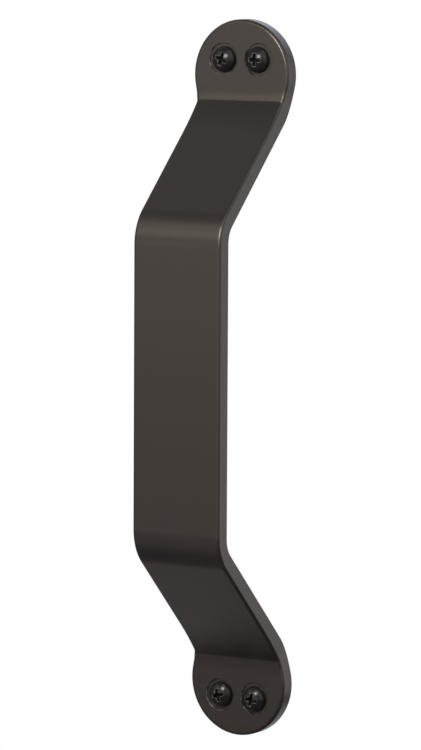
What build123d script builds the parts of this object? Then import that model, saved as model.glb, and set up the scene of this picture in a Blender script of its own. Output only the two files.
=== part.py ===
from build123d import *

import os
from math import radians, tan

# Door pull made from one flat steel bar: a round disc at each end lies on the door, a slanted leg
# leads from each disc out to a straight upright grip, and four pan-head screws hold it.
# Millimetres. The origin is the centre of the mounting plane, which is the back of both discs.
# +Z is up, the door is on the +Y side and the hand on the -Y side.

# The flat bar
bar_thickness = 6.0
strip_width = 35.6       # legs and grip
front_round = 1.0        # along every edge of the front
back_bevel = 0.9         # along every edge of the back, which lies on the door at the discs
disc_flare = 1.7         # how far a disc stands out past the strip on each side
neck_radius = 34.0       # hollow blend between a disc and the strip

# The bends
bend_angle = 45.0        # lean of a leg from the door's plane
full_radius = 18.0       # on the full side of every bend
grip_hollow = 8.0        # on the hollow side of the bends at the grip
foot_hollow = 2.0        # on the hollow side of the bends at the feet, which the press forms tight
grip_flat = 99.0         # straight length of the grip, between its two bends
foot_flat = 4.6          # from the end of the bend at a foot to the centre of its disc
hand_clearance = 41.0    # from the door to the back of the grip

# The screws: number ten pan heads with a cross recess, 3/4 inch long
head_diameter = 9.4
head_height = 3.2
head_side = 1.7          # height of the straight side, up to the crown
head_bevel = 0.25        # broken edge between the side and the crown
screw_length = 19.05     # from under the head to the tip
thread_diameter = 4.8
neck_diameter = 3.9      # plain stretch inside the bar, rolled to less than the thread
point_length = 4.5
tip_diameter = 0.6

# The cross recess in a head
recess_span = 4.9        # across two opposite wings, level with the top of the crown
recess_depth = 2.1       # from the top of the crown
wing_width = 1.15
wing_draft = 18.0        # degrees that the end of a wing leans in
core_width = 1.7         # square core at the floor, its corners between the wings
core_draft = 8.0         # degrees that the core opens towards the top

# The screw holes
hole_spacing = 14.5      # between the two holes of a disc
hole_edge = 14.0         # from the end of the bar to the holes' centres
hole_clearance = 0.4     # around the thread
seat_gap = 0.8           # around a head, to the wall of its shallow round seat
seat_depth = 0.5
seat_rim = 0.2           # broken edge of a seat
drift_share = 0.5        # how much of the seat gap a driven screw sits off its hole's centre

# The four screws: name, side, end, turn of the cross recess, direction of the drift.
# Side is -1 for left, end is 1 for upper. Turn is clockwise and drift is counter-clockwise
# from the right, both in degrees and both as seen from the front.
screws = [
    ("upper_left_screw", -1, 1, 21.0, -15.0),
    ("upper_right_screw", 1, 1, 2.0, 190.0),
    ("lower_left_screw", -1, -1, -15.0, 10.0),
    ("lower_right_screw", 1, -1, 11.0, 235.0),
]

# Worked out from the sizes above
half_bend = radians(bend_angle / 2)
bend_tangent = (full_radius - bar_thickness / 2) * tan(half_bend)
bend_shift = bar_thickness / 2 * tan(half_bend)
grip_corner = grip_flat / 2 + bend_tangent
foot_corner = grip_corner + hand_clearance / tan(radians(bend_angle))
disc_centre = foot_corner + bend_tangent + foot_flat
disc_radius = strip_width / 2 + disc_flare
bar_end = disc_centre + disc_radius
hole_height = bar_end - hole_edge
hole_radius = thread_diameter / 2 + hole_clearance
seat_radius = head_diameter / 2 + seat_gap
seat_plane = seat_depth - bar_thickness
screw_drift = drift_share * seat_gap
overlap = 1.0            # how far a cutting or crossing shape runs past what it cuts
tiny = 0.001             # two places nearer than this are the same


def side_face():
    """The bar seen edge on, in the YZ plane: a front line and a back line with their own bends."""
    front_foot = foot_corner + bend_shift
    front_grip = grip_corner + bend_shift
    back_foot = foot_corner - bend_shift
    back_grip = grip_corner - bend_shift
    foot_front = -bar_thickness
    grip_front = -hand_clearance - bar_thickness
    grip_back = -hand_clearance
    front = FilletPolyline(
        (foot_front, bar_end), (foot_front, front_foot), (grip_front, front_grip),
        (grip_front, -front_grip), (foot_front, -front_foot), (foot_front, -bar_end),
        radius=[foot_hollow, full_radius, full_radius, foot_hollow],
    )
    back = FilletPolyline(
        (0, bar_end), (0, back_foot), (grip_back, back_grip),
        (grip_back, -back_grip), (0, -back_foot), (0, -bar_end),
        radius=[full_radius, grip_hollow, grip_hollow, full_radius],
    )
    return make_face([front, Line(front @ 1, back @ 1), back, Line(back @ 0, front @ 0)])


def front_face():
    """The bar seen from the front: a strip that swells into a disc at each end."""
    outline = Rectangle(strip_width, 2 * disc_centre)
    for end in (-1, 1):
        outline += Pos(0, end * disc_centre) * Circle(disc_radius)
    necks = [corner for corner in outline.vertices() if abs(abs(corner.X) - strip_width / 2) < tiny]
    return fillet(necks, neck_radius)


def rim(bar, facing):
    """The edges round the bar's front (facing -1) or back (facing 1), without its smooth seams."""
    faces = [face for face in bar.faces() if facing * face.normal_at().Y > 0.5]
    return [edge for face in faces for edge in face.edges() if not runs_across(edge)]


def runs_across(edge):
    """True for a straight seam from side to side, where a flat stretch turns into a bend."""
    return edge.geom_type == GeomType.LINE and abs(edge.tangent_at(0.5).X) > 0.5


def blank():
    """The bent bar with its edges eased and no holes yet."""
    bent = extrude(Plane.YZ * side_face(), disc_radius + overlap, both=True)
    reach = hand_clearance + bar_thickness + overlap
    bar = bent & extrude(Plane.XZ * front_face(), reach, both=True)
    bar = fillet(rim(bar, -1), front_round)
    return chamfer(rim(bar, 1), back_bevel)


def at_hole(side, end):
    """Where a screw hole's axis meets the mounting plane, with local +Z out towards the hand."""
    return Pos(side * hole_spacing / 2, 0, end * hole_height) * Rot(90, 0, 0)


def screw_hole():
    """Cutter for one hole: the clearance bore and the round seat for the head, with its broken edge."""
    front = bar_thickness
    floor = front - seat_depth
    profile = Polyline(
        (0, -overlap), (hole_radius, -overlap), (hole_radius, floor), (seat_radius, floor),
        (seat_radius, front - seat_rim), (seat_radius + seat_rim + overlap, front + overlap),
        (0, front + overlap), (0, -overlap),
    )
    return revolve(Plane.XZ * make_face(profile), Axis.Z)


def pull_bar():
    """The one-piece bar with its four seated holes."""
    bar = blank()
    for _, side, end, _, _ in screws:
        bar -= at_hole(side, end) * screw_hole()
    return bar


def head():
    """A pan head on its underside: a straight side, a broken edge and a round crown."""
    head_radius = head_diameter / 2
    crown_rise = head_height - head_side
    crown_radius = (head_radius ** 2 + crown_rise ** 2) / (2 * crown_rise)
    crown = Pos(0, 0, head_height - crown_radius) * Rot(90, 0, 0) * Sphere(crown_radius)
    solid = extrude(Circle(head_radius), head_height) & crown
    shoulder = solid.edges().filter_by(GeomType.CIRCLE).sort_by(Axis.Z)[-1]
    return chamfer(shoulder, head_bevel)


def shank():
    """Plain neck, thread at its outer diameter and a cone for the point, all below the head."""
    profile = Polyline(
        (0, overlap), (neck_diameter / 2, overlap), (neck_diameter / 2, seat_plane),
        (thread_diameter / 2, seat_plane), (thread_diameter / 2, point_length - screw_length),
        (tip_diameter / 2, -screw_length), (0, -screw_length), (0, overlap),
    )
    return revolve(Plane.XZ * make_face(profile), Axis.Z)


def recess():
    """Cutter for the cross recess: two crossed wings that narrow downwards and a square core."""
    top = head_height + overlap
    floor = head_height - recess_depth
    lean = tan(radians(wing_draft))
    half_top = recess_span / 2 + overlap * lean
    half_floor = recess_span / 2 - recess_depth * lean
    side = Polyline(
        (-half_floor, floor), (half_floor, floor), (half_top, top), (-half_top, top),
        (-half_floor, floor),
    )
    wing = extrude(Plane.XZ * make_face(side), wing_width / 2, both=True)
    square = Pos(0, 0, floor) * Rot(0, 0, 45) * Rectangle(core_width, core_width)
    core = extrude(square, top - floor, taper=-core_draft)
    return wing + Rot(0, 0, 90) * wing + core


def screw(turn):
    """One whole screw, its recess turned clockwise as seen from above the crown."""
    return head() + shank() - Rot(0, 0, -turn) * recess()


def placed_screw(side, end, turn, drift):
    """A screw driven home: its head lies flat on the seat, a little off the hole's centre."""
    off_centre = Vector(screw_drift, 0, 0).rotate(Axis.Y, -drift)
    return Pos(*off_centre) * at_hole(side, end) * Pos(0, 0, -seat_plane) * screw(turn)


os.makedirs("parts", exist_ok=True)
export_step(pull_bar(), "parts/pull_bar.step")
for name, side, end, turn, drift in screws:
    export_step(placed_screw(side, end, turn, drift), f"parts/{name}.step")
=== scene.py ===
from math import asin, atan2, ceil, cos, hypot, inf, pi, radians, sin, tan

import bmesh
import bpy
from mathutils import Matrix, Vector


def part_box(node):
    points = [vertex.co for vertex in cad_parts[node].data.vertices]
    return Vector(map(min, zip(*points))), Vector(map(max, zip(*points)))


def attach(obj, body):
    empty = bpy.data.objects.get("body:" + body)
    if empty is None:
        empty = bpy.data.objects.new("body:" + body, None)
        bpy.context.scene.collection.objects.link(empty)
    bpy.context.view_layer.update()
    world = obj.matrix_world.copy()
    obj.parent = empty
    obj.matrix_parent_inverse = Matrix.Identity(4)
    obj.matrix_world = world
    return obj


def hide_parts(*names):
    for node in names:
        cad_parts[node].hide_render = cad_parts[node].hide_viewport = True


# Looks of a flat-bar door pull with a satin dark bronze coat and four black pan-head screws.
# The bar is drawn flat, eased along all its edges and then bent, as in the shop.
# Sizes are written in millimetres and turned to metres by MM. Colours are sRGB.
MM = 0.001

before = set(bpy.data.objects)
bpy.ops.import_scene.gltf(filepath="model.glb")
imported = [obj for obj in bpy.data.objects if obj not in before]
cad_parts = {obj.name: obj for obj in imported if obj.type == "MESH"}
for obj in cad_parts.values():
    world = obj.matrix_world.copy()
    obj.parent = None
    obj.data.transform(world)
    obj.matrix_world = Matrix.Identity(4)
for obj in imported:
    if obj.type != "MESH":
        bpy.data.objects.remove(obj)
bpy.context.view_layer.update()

# The flat bar, with its disc and ends as the frame has them
BAR_LOW, BAR_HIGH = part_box("pull_bar")
THICKNESS = 6.0 * MM
STRIP_WIDTH = 35.6 * MM
DISC_RADIUS = BAR_HIGH.x
NECK_RADIUS = 34.0 * MM

# Its edges: how far the front's rounding reaches in and down, the stretch where the front falls
# off towards it and by how much, and the rounding of the back
FRONT_ROUND = 1.3 * MM
ROUND_DEPTH = 1.0 * MM
PILLOW = 2.9 * MM
PILLOW_DROP = 0.05 * MM
BACK_ROUND = 0.9 * MM

# The bends. The full side of a bend is round, and its hollow side is pressed in tighter. At the
# feet it is nearly a crease: the leg curves a little towards it, and the foot ends in a slight
# curve and a short straight lip.
BEND = radians(45)
FULL_RADIUS = 18.0 * MM
EVEN_HOLLOW = FULL_RADIUS - THICKNESS
GRIP_HOLLOW = 8.0 * MM
LEG_EASE = 14.0 * MM
LEG_EASE_TURN = radians(8)
FOOT_EASE = 4.6 * MM
FOOT_EASE_TURN = radians(12)
LIP = 0.8 * MM
CREASE_RADIUS = 2.2 * MM
CREASE_TURN = BEND - LEG_EASE_TURN - FOOT_EASE_TURN
MIDDLE_RADIUS = FULL_RADIUS - THICKNESS / 2
BEND_TANGENT = MIDDLE_RADIUS * tan(BEND / 2)
BEND_LENGTH = MIDDLE_RADIUS * BEND

# Straight stretches between the bends, and places on the flat bar, counted from its middle
GRIP_FLAT = 99.0 * MM
REACH = -BAR_LOW.y - THICKNESS
LEG_FLAT = REACH / sin(BEND) - 2 * BEND_TANGENT
FOOT_FLAT = BAR_HIGH.z - GRIP_FLAT / 2 - 2 * BEND_TANGENT - REACH / tan(BEND)
FLAT_END = GRIP_FLAT / 2 + 2 * BEND_LENGTH + LEG_FLAT + FOOT_FLAT
FLAT_DISC = FLAT_END - DISC_RADIUS

# The screw holes and their shallow round seats
HOLE_RADIUS = 2.8 * MM
HOLE_SPACING = 14.5 * MM
FLAT_HOLE = FLAT_END - 14.0 * MM
SEAT_RADIUS = 5.5 * MM
SEAT_DEPTH = 0.5 * MM
SEAT_RIM = 0.3 * MM

# The screws' heads: the side leans in from the foot to the shoulder, where the crown starts
HEAD_RADIUS = 4.7 * MM
HEAD_HEIGHT = 3.2 * MM
HEAD_FOOT = 0.08 * MM
SHOULDER_RADIUS = 4.4 * MM
SHOULDER_HEIGHT = 1.35 * MM
SHOULDER_ROUND = 0.3 * MM

# Their shanks, number ten by 3/4 inch with twelve threads to the inch. The tip has a share of the
# radius that the thread has there.
NECK = 1.95 * MM
SCREW_LENGTH = 19.05 * MM
CREST = 2.4 * MM
ROOT = 1.7 * MM
PITCH = 25.4 / 12 * MM
POINT_LENGTH = 4.5 * MM
TIP_SHARE = 0.12
THREAD_START = SEAT_DEPTH - THICKNESS
THREAD_LENGTH = SCREW_LENGTH + THREAD_START

# One turn of the thread: radius, and how far along its pitch
THREAD_GROOVE = ((ROOT, 0), (ROOT, 0.42), (CREST, 0.68), (CREST, 0.74), (ROOT, 1))

# The cross recess in a head, and a blunt pit in the core's floor, inset by a share of the core
RECESS_SPAN = 5.0 * MM
RECESS_DEPTH = 2.1 * MM
WING_WIDTH = 1.35 * MM
WING_DRAFT = radians(18)
CORE_WIDTH = 1.95 * MM
CORE_DRAFT = radians(8)
RECESS_EASE = 0.14 * MM
PIT_INSET = 0.45
PIT_DEPTH = 0.3 * MM
CUT_OVER = 1.0 * MM

# Where the recess's rim and floor are found: the rim within a radius and above a level, and the
# floor below another level
RIM_WITHIN = 0.55 * RECESS_SPAN
RIM_ABOVE = HEAD_HEIGHT - 0.3 * RECESS_DEPTH
FLOOR_BELOW = HEAD_HEIGHT - 0.7 * RECESS_DEPTH

# How far each cross is turned, clockwise as seen from the front, in degrees
CROSS_TURNS = {
    "upper_left_screw": 21,
    "upper_right_screw": 2,
    "lower_left_screw": -15,
    "lower_right_screw": 11,
}

# How finely round shapes are divided. Heights where the bar bends that are nearer than the gap
# count as one.
CROWN_STEPS = 14
DISC_STEPS = 56
NECK_STEPS = 10
ROUND_STEPS = 7
SHOULDER_STEPS = 3
RIM_STEPS = 2
AROUND = 64
BEND_STEP = radians(2)
BEND_GAP = 0.1 * MM

# An edge that turns by more than this stays sharp
SHARP = radians(38)

# Two places nearer than this are the same. Places that went through some sums may be a little
# further apart.
WELD = 1e-7
NEAR = 1e-6

# Marks on the surface that the coats read
# Rubbed rims, drawn light so that they also stand as painted glints
WEAR_AND_GLINT = "edge_wear_and_glint"
# The recess's depth, where the screws' coat is made matt and painted darker as shade
SHADE_DEPTH = "recess_shade_depth"

# The bar's coat: powder with bronze flakes in it, which make it partly metallic. Its grain is
# the faint orange peel of baked powder.
BRONZE = "#37322e"
# The rubbed coat at the seats' rims, drawn lighter as painted glints
RUBBED_GLINT_BRONZE = "#79736a"
BRONZE_METAL = 0.7
GRAIN_SIZE = 0.9 * MM
GRAIN_DETAIL = 3
GRAIN_LEVELS = (0.3, 0.7)
GRAIN_ROUGHNESS = (0.29, 0.38)
GRAIN_STRENGTH = 0.12
GRAIN_DEPTH = 0.05 * MM

# The screws' coat. In the depth of the recess it is matt and painted darker as shade, from a share of
# the way down.
BLACK = "#171415"
# The rubbed coat at the rims of the cross, drawn light as painted glints
RUBBED_GLINT_BLACK = "#827d76"
RECESS_SHADE_BLACK = "#0b0a0a"
BLACK_GLOSS = 0.23
BLACK_ROUGHNESS = 0.24
RECESS_ROUGHNESS = 1.0
RECESS_FALL = 0.3

# Flecks of rubbed coat, drawn light so that they also stand as painted glints: their size, and the
# noise levels between which the coat gives way.
# Real flecks are finer than a pixel of the photo, so they are drawn coarser.
BRONZE_FLECKS = (1.1 * MM, 0.44, 0.6)
BLACK_FLECKS = (1.3 * MM, 0.3, 0.55)
FLECK_DETAIL = 2
WEAR_FALL = 5.0

# The stage
STAGE_RADIUS = 6.0
FLOOR_HEIGHT = -1.0
FLOOR_SIDES = 96
BACKDROP_SIDES = 64
PAPER = "#ffffff"

# Each softbox: its turn from straight in front (positive to the right) and its height, both in
# degrees, its distance, width and height in metres, its brightness, where 1 is white paper in
# the picture, and its colour
SOFTBOXES = {
    "key": (4.6, 30.2, 0.715, 0.2, 0.2, 36.0, "#fffbee"),
    "band": (-31, 22, 1.2, 0.7, 0.2, 1.66, "#fffcf2"),
    "front_left_high": (-38, 31, 1.6, 1.4, 0.7, 1.4, "#fffcf4"),
    "front_left": (-38, 1, 1.6, 1.5, 0.4, 1.66, "#fdfdf9"),
    "front_left_low": (-36, -26, 1.6, 1.2, 0.8, 0.44, "#fff0ee"),
    "front": (6, 3, 1.6, 1.0, 0.9, 1.5, "#fdfdfa"),
    "edge_strip": (60, 10, 1.6, 1.6, 1.0, 1.15, "#fffcf8"),
    "right_wall": (125, 1, 1.6, 1.5, 1.6, 2.02, "#fdfcff"),
    "left_wall": (-130, 0, 1.6, 0.5, 1.6, 0.6, "#f6fbff"),
    "top_right": (60, 48, 1.6, 1.7, 1.5, 1.55, "#e9f4ff"),
    "top_left": (-112, 58, 1.6, 1.1, 1.1, 0.52, "#f6f0ff"),
    "under_left": (-128, -57, 1.6, 1.0, 1.0, 0.42, "#fff0e8"),
    "back_high": (-171, 32, 1.6, 1.8, 0.6, 1.8, "#e6f0ff"),
    "back": (-174, -2, 1.6, 1.0, 0.9, 0.85, "#f6f6f8"),
    "back_low": (-168, -33, 1.6, 1.6, 0.5, 0.75, "#f4f6ff"),
}
WORLD_COLOUR = "#f2f1ff"
WORLD_STRENGTH = 0.17

# The camera: turn and tilt of its view, its roll, and how far it stands from the origin.
# The picture's middle passes the origin by the two offsets. The lens is long: its focal length
# is given in pixels of the picture, and the sensor's width in millimetres.
CAMERA_TURN = radians(32.447)
CAMERA_TILT = radians(6.059)
CAMERA_ROLL = radians(0.292)
CAMERA_DISTANCE = 1.518
CAMERA_OFFSET = Vector((13.232, -1.375)) * MM
FOCAL_PIXELS = 4288.2
PICTURE_HEIGHT = 750
SENSOR = 36.0


def place_form(name, form):
    """Turns a bmesh into an object of the scene."""
    mesh = bpy.data.meshes.new(name)
    form.to_mesh(mesh)
    form.free()
    placed = bpy.data.objects.new(name, mesh)
    bpy.context.scene.collection.objects.link(placed)
    return placed


def finish_piece(name, form, node, material):
    """Turns a bmesh into a piece that rides on the part and stands for its CAD node."""
    bmesh.ops.recalc_face_normals(form, faces=form.faces)
    piece = place_form(name, form)
    piece.data.shade_smooth()
    piece.data.set_sharp_from_angle(angle=SHARP)
    piece.data.materials.append(material)
    even = piece.modifiers.new("even_faces", "WEIGHTED_NORMAL")
    even.keep_sharp = True
    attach(piece, "root")
    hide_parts(node)


def chain(form, points):
    """A row of edges through a few points, as a start for a spin."""
    row = [form.verts.new(point) for point in points]
    edges = [form.edges.new(pair) for pair in zip(row, row[1:])]
    return row + edges


def only(kind, parts):
    """The parts of one kind, such as vertices, out of what an operator returns."""
    return [part for part in parts if isinstance(part, kind)]


# The bar


def draw_arc(form, start, centre, angle, steps):
    """Draws an arc from one vertex, in the bar's back plane, and returns its last vertex."""
    arc = bmesh.ops.spin(form, geom=start, cent=centre, axis=(0, 1, 0), angle=angle, steps=steps)
    return only(bmesh.types.BMVert, arc["geom_last"])


def draw_outline(form):
    """The flat bar's outline: disc, hollow neck and side of one quarter, then mirrored twice."""
    neck_x = STRIP_WIDTH / 2 + NECK_RADIUS
    neck_drop = ((DISC_RADIUS + NECK_RADIUS) ** 2 - neck_x ** 2) ** 0.5
    lean = atan2(neck_drop, neck_x)
    end = bmesh.ops.create_vert(form, co=(0, 0, FLAT_END))["vert"]
    disc = draw_arc(form, end, (0, 0, FLAT_DISC), pi / 2 + lean, DISC_STEPS)
    neck = draw_arc(form, disc, (neck_x, 0, FLAT_DISC - neck_drop), -lean, NECK_STEPS)
    side = bmesh.ops.extrude_vert_indiv(form, verts=neck)["verts"]
    side[0].co.z = 0
    for axis in "XZ":
        drawn = form.verts[:] + form.edges[:]
        bmesh.ops.mirror(form, geom=drawn, matrix=Matrix(), merge_dist=WELD, axis=axis)
    bmesh.ops.remove_doubles(form, verts=form.verts, dist=WELD)


def broad_face(form, level):
    """The one broad face of the flat bar that lies at this depth."""
    return next(face for face in form.faces
                if len(face.verts) > DISC_STEPS and abs(face.calc_center_median().y - level) < WELD)


def open_sheet(form, level, radius):
    """Rounds the rim of a broad face, takes the face away and returns its border."""
    bmesh.ops.bevel(form, geom=broad_face(form, level).edges[:], offset=radius, offset_type="OFFSET",
                    segments=ROUND_STEPS, profile=0.5, affect="EDGES", material=-1)
    sheet = broad_face(form, level)
    if level:
        ease_front(form, sheet)
    border = sheet.edges[:]
    bmesh.ops.delete(form, geom=[sheet], context="FACES_ONLY")
    return border


def ease_front(form, sheet):
    """Lets the front fall off a little towards its rim, and sets the rounding's own depth."""
    bmesh.ops.inset_region(form, faces=[sheet], thickness=PILLOW, use_even_offset=True)
    stretch = (ROUND_DEPTH - PILLOW_DROP) / FRONT_ROUND
    for vertex in set(form.verts) - set(sheet.verts):
        depth = vertex.co.y + THICKNESS
        if depth < FRONT_ROUND + WELD:
            vertex.co.y = PILLOW_DROP + depth * stretch - THICKNESS


def cut_hole(form, centre):
    """The wall of one hole from front to back: eased rim, seat wall, seat floor and bore."""
    front = -THICKNESS
    steps = (
        (SEAT_RADIUS + SEAT_RIM, front),
        (SEAT_RADIUS, front + SEAT_RIM),
        (SEAT_RADIUS, front + SEAT_DEPTH),
        (HOLE_RADIUS, front + SEAT_DEPTH),
        (HOLE_RADIUS, 0),
    )
    profile = chain(form, [centre + Vector((radius, depth, 0)) for radius, depth in steps])
    bmesh.ops.spin(form, geom=profile, cent=centre, axis=(0, 1, 0), angle=2 * pi, steps=AROUND,
                   use_merge=True)


def circle_edges(form, centre, radius, level):
    """The edges of a circle round a hole's axis, at one depth."""
    def lies_on(vertex):
        off = hypot(vertex.co.x - centre.x, vertex.co.z - centre.z) - radius
        return abs(off) < NEAR and abs(vertex.co.y - level) < NEAR
    return [edge for edge in form.edges if all(map(lies_on, edge.verts))]


def mark_wear_and_glint(form):
    """Notes where the coat is rubbed and drawn light as painted glints: at the rims of the seats, by
    the driver and the heads.
    """
    wear_glint_layer = form.faces.layers.float.new(WEAR_AND_GLINT)
    for face in form.faces:
        middle = face.calc_center_median()
        off_hole = hypot(abs(middle.x) - HOLE_SPACING / 2, abs(middle.z) - FLAT_HOLE)
        if WELD < middle.y + THICKNESS < SEAT_RIM and off_hole < SEAT_RADIUS + SEAT_RIM:
            face[wear_glint_layer] = 1


def walk(line, flat_height):
    """How far back and up a walk along the front or the back leads.
    The line is a row of stretches: length on the flat bar, length when bent, and turn."""
    left = flat_height
    back = 0
    up = 0
    lean = 0
    for flat_length, length, turn in line:
        share = min(left, flat_length) / flat_length
        left -= share * flat_length
        swing = turn * share
        chord = 2 * length / turn * sin(swing / 2) if turn else length * share
        back += chord * sin(lean + swing / 2)
        up += chord * cos(lean + swing / 2)
        lean += swing
    return Vector((back, up))


def bend_line(even_radius, arcs, main, before_flat, after_flat):
    """The stretches of one bend, and of the straights before and after it, on the front or back.
    An arc is given by its length and turn. The straights are as long as they must be for the bend
    to turn the same corner as an even one, and the main arc takes up what the flat bar has over."""
    leads = walk([(length, length, turn) for length, turn in arcs], inf)
    whole_turn = sum(turn for _, turn in arcs)
    before = Vector((0, 1))
    after = Vector((sin(whole_turn), cos(whole_turn)))
    reach = even_radius * tan(BEND / 2)
    spread = before.cross(after)
    first = before_flat + reach - leads.cross(after) / spread
    last = after_flat + reach - before.cross(leads) / spread
    spare = before_flat + BEND_LENGTH + after_flat - first - last - sum(length for length, _ in arcs)
    bent = [(length + spare * (place == main), length, turn)
            for place, (length, turn) in enumerate(arcs)]
    return (first, first, 0), *bent, (last, last, 0)


def side_lines():
    """The front and the back of the bar, seen from the side and walked from the middle to an end."""
    grip_flat = GRIP_FLAT / 2
    leg_flat = LEG_FLAT / 2
    full_grip = [(FULL_RADIUS * BEND, BEND)]
    hollow_grip = [(GRIP_HOLLOW * BEND, BEND)]
    full_foot = [(FULL_RADIUS * BEND, -BEND)]
    hollow_foot = [
        (LEG_EASE, -LEG_EASE_TURN),
        (CREASE_RADIUS * CREASE_TURN, -CREASE_TURN),
        (LIP, 0),
        (FOOT_EASE, -FOOT_EASE_TURN),
    ]
    front = (*bend_line(FULL_RADIUS, full_grip, 0, grip_flat, leg_flat),
             *bend_line(EVEN_HOLLOW, hollow_foot, 1, leg_flat, FOOT_FLAT))
    back = (*bend_line(EVEN_HOLLOW, hollow_grip, 0, grip_flat, leg_flat),
            *bend_line(FULL_RADIUS, full_foot, 0, leg_flat, FOOT_FLAT))
    return front, back


def bend_stations(lines):
    """Heights on the flat bar where it is divided so that it can bend: the ends of each stretch,
    and places a small turn apart where it curves."""
    places = []
    for line in lines:
        start = 0
        for length, _, turn in line[:-1]:
            cuts = max(1, ceil(abs(turn) / BEND_STEP))
            places += [start + length * cut / cuts for cut in range(1, cuts + 1)]
            start += length
    places.sort()
    return [place for place, last in zip(places, [0, *places]) if place - last > BEND_GAP]


def divide(form, heights):
    """Cuts all faces of the flat bar across at these heights, above and below its middle."""
    for height in heights:
        for end in (-1, 1):
            parts = form.verts[:] + form.edges[:] + form.faces[:]
            bmesh.ops.bisect_plane(form, geom=parts, dist=WELD, plane_co=(0, 0, end * height),
                                   plane_no=(0, 0, 1))


def bend_point(flat, lines):
    """Where a point of the flat bar goes when the bar is bent."""
    front_line, back_line = lines
    height = abs(flat.z)
    front = walk(front_line, height) - Vector((REACH + THICKNESS, 0))
    back = walk(back_line, height) - Vector((REACH, 0))
    out, up = back.lerp(front, -flat.y / THICKNESS)
    return Vector((flat.x, out, up if flat.z > 0 else -up))


def make_bar(material):
    """One flat bar with round ends, bent four times, with four seated holes."""
    form = bmesh.new()
    draw_outline(form)
    bmesh.ops.contextual_create(form, geom=form.edges[:])
    front = bmesh.ops.extrude_face_region(form, geom=form.faces[:])["geom"]
    bmesh.ops.translate(form, verts=only(bmesh.types.BMVert, front), vec=(0, -THICKNESS, 0))
    borders = {
        -THICKNESS: open_sheet(form, -THICKNESS, FRONT_ROUND),
        0: open_sheet(form, 0, BACK_ROUND),
    }
    rims = {-THICKNESS: SEAT_RADIUS + SEAT_RIM, 0: HOLE_RADIUS}
    for side in (-1, 1):
        for end in (-1, 1):
            centre = Vector((side * HOLE_SPACING / 2, 0, end * FLAT_HOLE))
            cut_hole(form, centre)
            for level, border in borders.items():
                border += circle_edges(form, centre, rims[level], level)
    for border in borders.values():
        bmesh.ops.triangle_fill(form, use_beauty=True, edges=border)
    lines = side_lines()
    divide(form, bend_stations(lines))
    mark_wear_and_glint(form)
    for vertex in form.verts:
        vertex.co = bend_point(vertex.co, lines)
    finish_piece("bronze_bar", form, "pull_bar", material)


# The screws, drawn with the head's underside at zero and the point below


def turn_head(form):
    """The pan head: underside, side that leans in and round crown, turned about its axis."""
    rise = HEAD_HEIGHT - SHOULDER_HEIGHT
    crown_radius = (SHOULDER_RADIUS ** 2 + rise ** 2) / (2 * rise)
    reach = asin(SHOULDER_RADIUS / crown_radius)
    chain(form, [(NECK, 0, 0), (HEAD_RADIUS, 0, 0), (SHOULDER_RADIUS, 0, SHOULDER_HEIGHT)])
    crown_centre = (0, 0, HEAD_HEIGHT - crown_radius)
    top = bmesh.ops.create_vert(form, co=(0, 0, HEAD_HEIGHT))["vert"]
    bmesh.ops.spin(form, geom=top, cent=crown_centre, axis=(0, 1, 0), angle=reach, steps=CROWN_STEPS)
    bmesh.ops.remove_doubles(form, verts=form.verts, dist=WELD)
    bmesh.ops.spin(form, geom=form.verts[:] + form.edges[:], axis=(0, 0, 1), angle=2 * pi,
                   steps=AROUND, use_merge=True)
    bmesh.ops.remove_doubles(form, verts=form.verts, dist=WELD)
    bmesh.ops.recalc_face_normals(form, faces=form.faces)
    round_ring(form, SHOULDER_RADIUS, SHOULDER_HEIGHT, SHOULDER_ROUND)
    round_ring(form, HEAD_RADIUS, 0, HEAD_FOOT)


def round_ring(form, radius, level, ease):
    """Rounds the edge of a head that lies at this radius and level."""
    def lies_on(vertex):
        return abs(hypot(*vertex.co.xy) - radius) < NEAR and abs(vertex.co.z - level) < NEAR
    ring = [edge for edge in form.edges if all(map(lies_on, edge.verts))]
    bmesh.ops.bevel(form, geom=ring, offset=ease, offset_type="OFFSET", segments=SHOULDER_STEPS,
                    profile=0.5, affect="EDGES", material=-1)


def thread_radius(radius, depth):
    """The thread rises softly out of the shank over its first turn and runs down to a point."""
    rise = max(0, min(1, depth / PITCH))
    radius = ROOT + (radius - ROOT) * rise * rise * (3 - 2 * rise)
    point = max(0, min(1, (THREAD_LENGTH - depth) / POINT_LENGTH))
    return radius * (TIP_SHARE + (1 - TIP_SHARE) * point)


def cut_flat(form, height, outwards):
    """Cuts a turned shape flat across its axis, and returns the edges round the cut."""
    parts = form.verts[:] + form.edges[:] + form.faces[:]
    bmesh.ops.bisect_plane(form, geom=parts, dist=WELD, plane_co=(0, 0, height),
                           plane_no=(0, 0, outwards), clear_outer=True)
    return [edge for edge in form.edges
            if edge.is_boundary and all(abs(end.co.z - height) < NEAR for end in edge.verts)]


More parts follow.
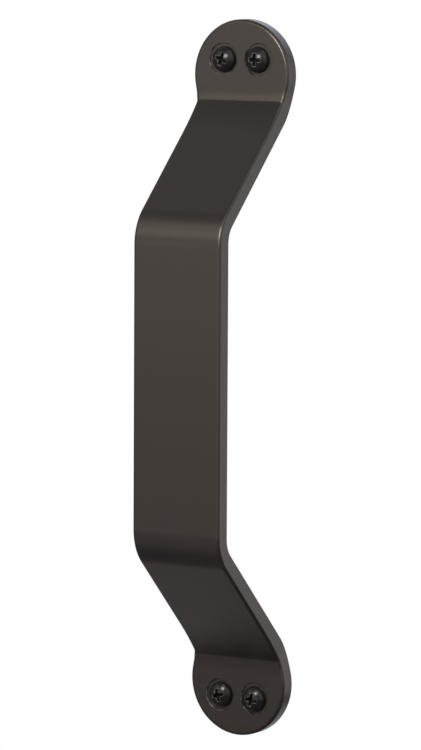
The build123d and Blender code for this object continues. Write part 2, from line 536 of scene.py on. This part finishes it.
def turn_shank():
    """The thread with its point, from the mounting plane down, and the plain neck above it."""
    form = bmesh.new()
    turns = ceil(THREAD_LENGTH / PITCH) + 2
    start = THREAD_START + PITCH
    profile = chain(form, [(radius, 0, start - share * PITCH) for radius, share in THREAD_GROOVE])
    bmesh.ops.spin(form, geom=profile, cent=(0, 0, 0), axis=(0, 0, 1), angle=2 * pi * turns,
                   steps=AROUND * turns, dvec=(0, 0, -PITCH / AROUND))
    bmesh.ops.remove_doubles(form, verts=form.verts, dist=NEAR)
    for vertex in form.verts:
        radius = hypot(*vertex.co.xy)
        vertex.co.xy *= thread_radius(radius, THREAD_START - vertex.co.z) / radius
    tip = cut_flat(form, -SCREW_LENGTH, -1)
    bmesh.ops.contextual_create(form, geom=tip)
    rim = cut_flat(form, THREAD_START, 1)
    neck = bmesh.ops.extrude_edge_only(form, edges=rim)["geom"]
    share = NECK / ROOT
    bmesh.ops.scale(form, verts=only(bmesh.types.BMVert, neck), vec=(share, share, 1))
    neck = bmesh.ops.extrude_edge_only(form, edges=only(bmesh.types.BMEdge, neck))["geom"]
    bmesh.ops.translate(form, verts=only(bmesh.types.BMVert, neck), vec=(0, 0, -THREAD_START))
    return form


def join_forms(form, other):
    """Moves all of one shape into another."""
    mesh = bpy.data.meshes.new("joined")
    other.to_mesh(mesh)
    other.free()
    form.from_mesh(mesh)
    bpy.data.meshes.remove(mesh)


def wing_cutter():
    """One of the two crossed wings of the recess: it narrows towards the floor."""
    form = bmesh.new()
    bmesh.ops.create_cube(form, size=1)
    height = RECESS_DEPTH + CUT_OVER
    narrowing = height * tan(WING_DRAFT)
    span = RECESS_SPAN + 2 * CUT_OVER * tan(WING_DRAFT)
    bmesh.ops.scale(form, verts=form.verts, vec=(span, WING_WIDTH, height))
    low = [vertex for vertex in form.verts if vertex.co.z < 0]
    bmesh.ops.scale(form, verts=low, vec=(1 - 2 * narrowing / span, 1, 1))
    bmesh.ops.translate(form, verts=form.verts, vec=(0, 0, HEAD_HEIGHT + CUT_OVER - height / 2))
    return form


def core_cutter():
    """The square middle of the recess: it opens upwards and ends in a blunt point."""
    form = bmesh.new()
    height = RECESS_DEPTH + CUT_OVER
    corner = CORE_WIDTH / 2 ** 0.5
    opening = 2 ** 0.5 * height * tan(CORE_DRAFT)
    bmesh.ops.create_cone(form, cap_ends=True, segments=4, radius1=corner, radius2=corner + opening,
                          depth=height)
    floor = min(form.faces, key=lambda face: face.calc_center_median().z)
    bmesh.ops.inset_region(form, faces=[floor], thickness=corner * PIT_INSET, use_even_offset=True)
    bmesh.ops.translate(form, verts=floor.verts, vec=(0, 0, -PIT_DEPTH))
    bmesh.ops.translate(form, verts=form.verts, vec=(0, 0, HEAD_HEIGHT + CUT_OVER - height / 2))
    return form


def helper_object(name, form):
    """A helper shape for a cut. It is used once and then removed."""
    bmesh.ops.recalc_face_normals(form, faces=form.faces)
    return place_form(name, form)


def cut_recess(form):
    """Cuts the cross into the head: two wings square to each other, then the core."""
    second_wing = wing_cutter()
    bmesh.ops.rotate(second_wing, verts=second_wing.verts, matrix=Matrix.Rotation(pi / 2, 3, "Z"))
    cutters = [helper_object("recess_cutter", cutter)
               for cutter in (wing_cutter(), second_wing, core_cutter())]
    whole = helper_object("screw_blank", form)
    for cutter in cutters:
        cut = whole.modifiers.new("recess", "BOOLEAN")
        cut.operation = "DIFFERENCE"
        cut.solver = "EXACT"
        cut.object = cutter
    shown = whole.evaluated_get(bpy.context.evaluated_depsgraph_get())
    cut_form = bmesh.new()
    cut_form.from_mesh(shown.to_mesh())
    shown.to_mesh_clear()
    for helper in [whole, *cutters]:
        bpy.data.meshes.remove(helper.data)
    bmesh.ops.remove_doubles(cut_form, verts=cut_form.verts, dist=WELD)
    ease_recess(cut_form)
    mark_shade_depth(cut_form)
    return cut_form


def ease_recess(form):
    """Eases the rim of the cross, and notes that the driver rubs its coat, which is drawn light there
    as painted glints.
    """
    wear_glint_layer = form.verts.layers.float.new(WEAR_AND_GLINT)
    rim = [edge for edge in form.edges if on_recess_rim(edge)]
    eased = bmesh.ops.bevel(form, geom=rim, offset=RECESS_EASE, offset_type="OFFSET",
                            segments=RIM_STEPS, profile=0.5, affect="EDGES", material=-1,
                            clamp_overlap=True)
    for face in eased["faces"]:
        for vertex in face.verts:
            vertex[wear_glint_layer] = 1


def on_recess_rim(edge):
    """True where a wall of the recess meets the crown."""
    middle = (edge.verts[0].co + edge.verts[1].co) / 2
    return (len(edge.link_faces) == 2 and edge.calc_face_angle() > SHARP
            and hypot(*middle.xy) < RIM_WITHIN and middle.z > RIM_ABOVE)


def mark_shade_depth(form):
    """Notes how deep in the recess the coat lies, where it is made matt and painted darker as shade:
    the floor is 1 and the crown is 0.
    """
    depth = form.verts.layers.float.new(SHADE_DEPTH)
    for vertex in form.verts:
        if hypot(*vertex.co.xy) < RECESS_SPAN / 2 and WELD < vertex.co.z < FLOOR_BELOW:
            vertex[depth] = 1


def make_blank():
    """One whole screw, before it is turned and put in its hole."""
    form = bmesh.new()
    turn_head(form)
    join_forms(form, turn_shank())
    under_head = [edge for edge in form.edges if edge.is_boundary]
    bmesh.ops.bridge_loops(form, edges=under_head)
    bmesh.ops.recalc_face_normals(form, faces=form.faces)
    return cut_recess(form)


def make_screw(node, turn, material):
    """A screw driven home: its head lies flat on the seat, where the frame has it."""
    low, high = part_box(node)
    middle = (low + high) / 2
    seat = Vector((middle.x, SEAT_DEPTH - THICKNESS, middle.z))
    form = make_blank()
    place = (Matrix.Translation(seat) @ Matrix.Rotation(pi / 2, 4, "X")
             @ Matrix.Rotation(-radians(turn), 4, "Z"))
    bmesh.ops.transform(form, matrix=place, verts=form.verts)
    finish_piece("black_" + node, form, node, material)


# Materials


def linear(hex_colour):
    """An sRGB hex colour as the linear colour that a shader takes."""
    shares = [int(hex_colour[place:place + 2], 16) / 255 for place in (1, 3, 5)]
    turned = [share / 12.92 if share <= 0.04045 else ((share + 0.055) / 1.055) ** 2.4
              for share in shares]
    return (*turned, 1)


def add(tree, kind, inputs=None, **settings):
    """Adds a node, sets it and joins or sets its inputs."""
    node = tree.nodes.new("ShaderNode" + kind)
    for name, value in settings.items():
        setattr(node, name, value)
    for socket, value in (inputs or {}).items():
        if isinstance(value, bpy.types.NodeSocket):
            tree.links.new(value, node.inputs[socket])
        else:
            node.inputs[socket].default_value = value
    return node


def new_material(name):
    """An empty material and its node tree."""
    material = bpy.data.materials.new(name)
    material.use_nodes = True
    tree = material.node_tree
    tree.nodes.clear()
    return material, tree


def rubbed_glint_share(tree, place, flecks):
    """Where a coat is rubbed through and drawn light as painted glints: flecks, close along the edges
    marked as worn.
    """
    size, from_level, to_level = flecks
    noise = add(tree, "TexNoise", {"Vector": place, "Scale": 1 / size, "Detail": FLECK_DETAIL})
    bare = add(tree, "MapRange", {"Value": noise.outputs["Fac"], "From Min": from_level,
                                  "From Max": to_level})
    worn = add(tree, "Attribute", attribute_name=WEAR_AND_GLINT)
    close = add(tree, "Math", {0: worn.outputs["Fac"], 1: WEAR_FALL}, operation="POWER")
    share = add(tree, "Math", {0: close.outputs["Value"], 1: bare.outputs["Result"]},
                operation="MULTIPLY")
    return share.outputs["Value"]


def blend(tree, share, first, second):
    """The first colour, or the second where the share is 1.
    The colour sockets of this node are its inputs 6 and 7 and its output 2."""
    mixed = add(tree, "Mix", {0: share, 6: first, 7: second}, data_type="RGBA")
    return mixed.outputs[2]


def satin_bronze_coat():
    """Dark bronze baked powder coat on steel. Broad soft reflections make it brown where a large
    light faces it and nearly black elsewhere. Its grain breaks them up a little, and the rims of the
    seats, where the coat is rubbed, are drawn lighter as painted glints."""
    material, tree = new_material("satin_dark_bronze_powder_coat")
    place = add(tree, "TexCoord").outputs["Object"]
    grain = add(tree, "TexNoise", {"Vector": place, "Scale": 1 / GRAIN_SIZE, "Detail": GRAIN_DETAIL})
    rough = add(tree, "MapRange", {
        "Value": grain.outputs["Fac"], "From Min": GRAIN_LEVELS[0], "From Max": GRAIN_LEVELS[1],
        "To Min": GRAIN_ROUGHNESS[0], "To Max": GRAIN_ROUGHNESS[1]})
    bump = add(tree, "Bump", {"Height": grain.outputs["Fac"], "Strength": GRAIN_STRENGTH,
                              "Distance": GRAIN_DEPTH})
    # Painted glints: rubbed flecks on the seats' rims drawn lighter
    rubbed = rubbed_glint_share(tree, place, BRONZE_FLECKS)
    colour = blend(tree, rubbed, linear(BRONZE), linear(RUBBED_GLINT_BRONZE))
    coat = add(tree, "BsdfPrincipled", {
        "Base Color": colour, "Metallic": BRONZE_METAL,
        "Roughness": rough.outputs["Result"], "Normal": bump.outputs["Normal"]})
    add(tree, "OutputMaterial", {"Surface": coat.outputs["BSDF"]})
    return material


def black_screw_coat():
    """Black baked enamel on steel, glossier than the bar. Each crown shows one small clear highlight,
    the rims of the cross are rubbed and drawn light as painted glints, and its depth is matt and
    painted darker as shade."""
    material, tree = new_material("semi_gloss_black_enamel")
    place = add(tree, "TexCoord").outputs["Object"]
    # Painted glints: rubbed flecks on the rims of the cross drawn lighter
    rubbed = rubbed_glint_share(tree, place, BLACK_FLECKS)
    # Painted shade: the recess's floor and lower walls are drawn darker, and matt
    depth = add(tree, "Attribute", attribute_name=SHADE_DEPTH)
    deep = add(tree, "MapRange", {"Value": depth.outputs["Fac"], "From Max": RECESS_FALL})
    rough = add(tree, "MapRange", {"Value": deep.outputs["Result"], "To Min": BLACK_ROUGHNESS,
                                   "To Max": RECESS_ROUGHNESS})
    coat_with_painted_shade = blend(tree, deep.outputs["Result"], linear(BLACK), linear(RECESS_SHADE_BLACK))
    coat = add(tree, "BsdfPrincipled", {
        "Base Color": blend(tree, rubbed, coat_with_painted_shade, linear(RUBBED_GLINT_BLACK)),
        "Roughness": rough.outputs["Result"], "Specular IOR Level": BLACK_GLOSS})
    add(tree, "OutputMaterial", {"Surface": coat.outputs["BSDF"]})
    return material


def glowing(name, hex_colour):
    """A surface of one even brightness, for what stands behind the part."""
    material, tree = new_material(name)
    glow = add(tree, "Emission", {"Color": linear(hex_colour)})
    add(tree, "OutputMaterial", {"Surface": glow.outputs["Emission"]})
    return material


# The stage, the lights and the camera


def make_stage():
    """A pale floor and a round white backdrop. Only the camera sees them."""
    white = glowing("white_backdrop_paper", PAPER)
    floor = bmesh.new()
    bmesh.ops.create_circle(floor, cap_ends=True, segments=FLOOR_SIDES, radius=STAGE_RADIUS)
    bmesh.ops.translate(floor, verts=floor.verts, vec=(0, 0, FLOOR_HEIGHT))
    backdrop = bmesh.new()
    bmesh.ops.create_uvsphere(backdrop, u_segments=BACKDROP_SIDES, v_segments=BACKDROP_SIDES // 2,
                              radius=STAGE_RADIUS)
    bmesh.ops.reverse_faces(backdrop, faces=backdrop.faces)
    for name, form in (("pale_floor", floor), ("backdrop", backdrop)):
        part = place_form(name, form)
        part.data.materials.append(white)
        part.visible_diffuse = False
        part.visible_glossy = False
        part.visible_transmission = False
        part.visible_shadow = False


def make_lights():
    """The softboxes, all facing the part. A lamp's power is pi times its area and brightness."""
    for name, (turn, lift, distance, width, height, brightness, colour) in SOFTBOXES.items():
        aside = radians(turn)
        above = radians(lift)
        towards = Vector((sin(aside) * cos(above), -cos(aside) * cos(above), sin(above)))
        light = bpy.data.lights.new(name, "AREA")
        light.shape = "RECTANGLE"
        light.size = width
        light.size_y = height
        light.energy = pi * width * height * brightness
        light.color = linear(colour)[:3]
        lamp = bpy.data.objects.new(name, light)
        lamp.location = distance * towards
        lamp.rotation_euler = towards.to_track_quat("Z", "Y").to_euler()
        lamp.visible_camera = False
        bpy.context.scene.collection.objects.link(lamp)


def make_world():
    """Faint even light from all round, for what the softboxes don't reach."""
    world = bpy.data.worlds.new("studio")
    world.use_nodes = True
    background = world.node_tree.nodes["Background"]
    background.inputs["Color"].default_value = linear(WORLD_COLOUR)
    background.inputs["Strength"].default_value = WORLD_STRENGTH
    bpy.context.scene.world = world


def make_camera():
    """The camera that took the photo, worked out from the part's outline in it."""
    look = Vector((-sin(CAMERA_TURN) * cos(CAMERA_TILT), cos(CAMERA_TURN) * cos(CAMERA_TILT),
                   -sin(CAMERA_TILT)))
    level = Vector((cos(CAMERA_TURN), sin(CAMERA_TURN), 0))
    rise = level.cross(look)
    right = cos(CAMERA_ROLL) * level + sin(CAMERA_ROLL) * rise
    up = cos(CAMERA_ROLL) * rise - sin(CAMERA_ROLL) * level
    place = -(CAMERA_OFFSET.x * right + CAMERA_OFFSET.y * up + CAMERA_DISTANCE * look)
    lens = bpy.data.cameras.new("camera")
    lens.sensor_width = SENSOR
    lens.lens = FOCAL_PIXELS * SENSOR / PICTURE_HEIGHT
    camera = bpy.data.objects.new("camera", lens)
    camera.matrix_world = Matrix.Translation(place) @ Matrix((right, up, -look)).transposed().to_4x4()
    bpy.context.scene.collection.objects.link(camera)
    bpy.context.scene.camera = camera


make_bar(satin_bronze_coat())
black = black_screw_coat()
for node, turn in CROSS_TURNS.items():
    make_screw(node, turn, black)
make_stage()
make_lights()
make_world()
make_camera()
bpy.context.scene.view_settings.view_transform = "Standard"
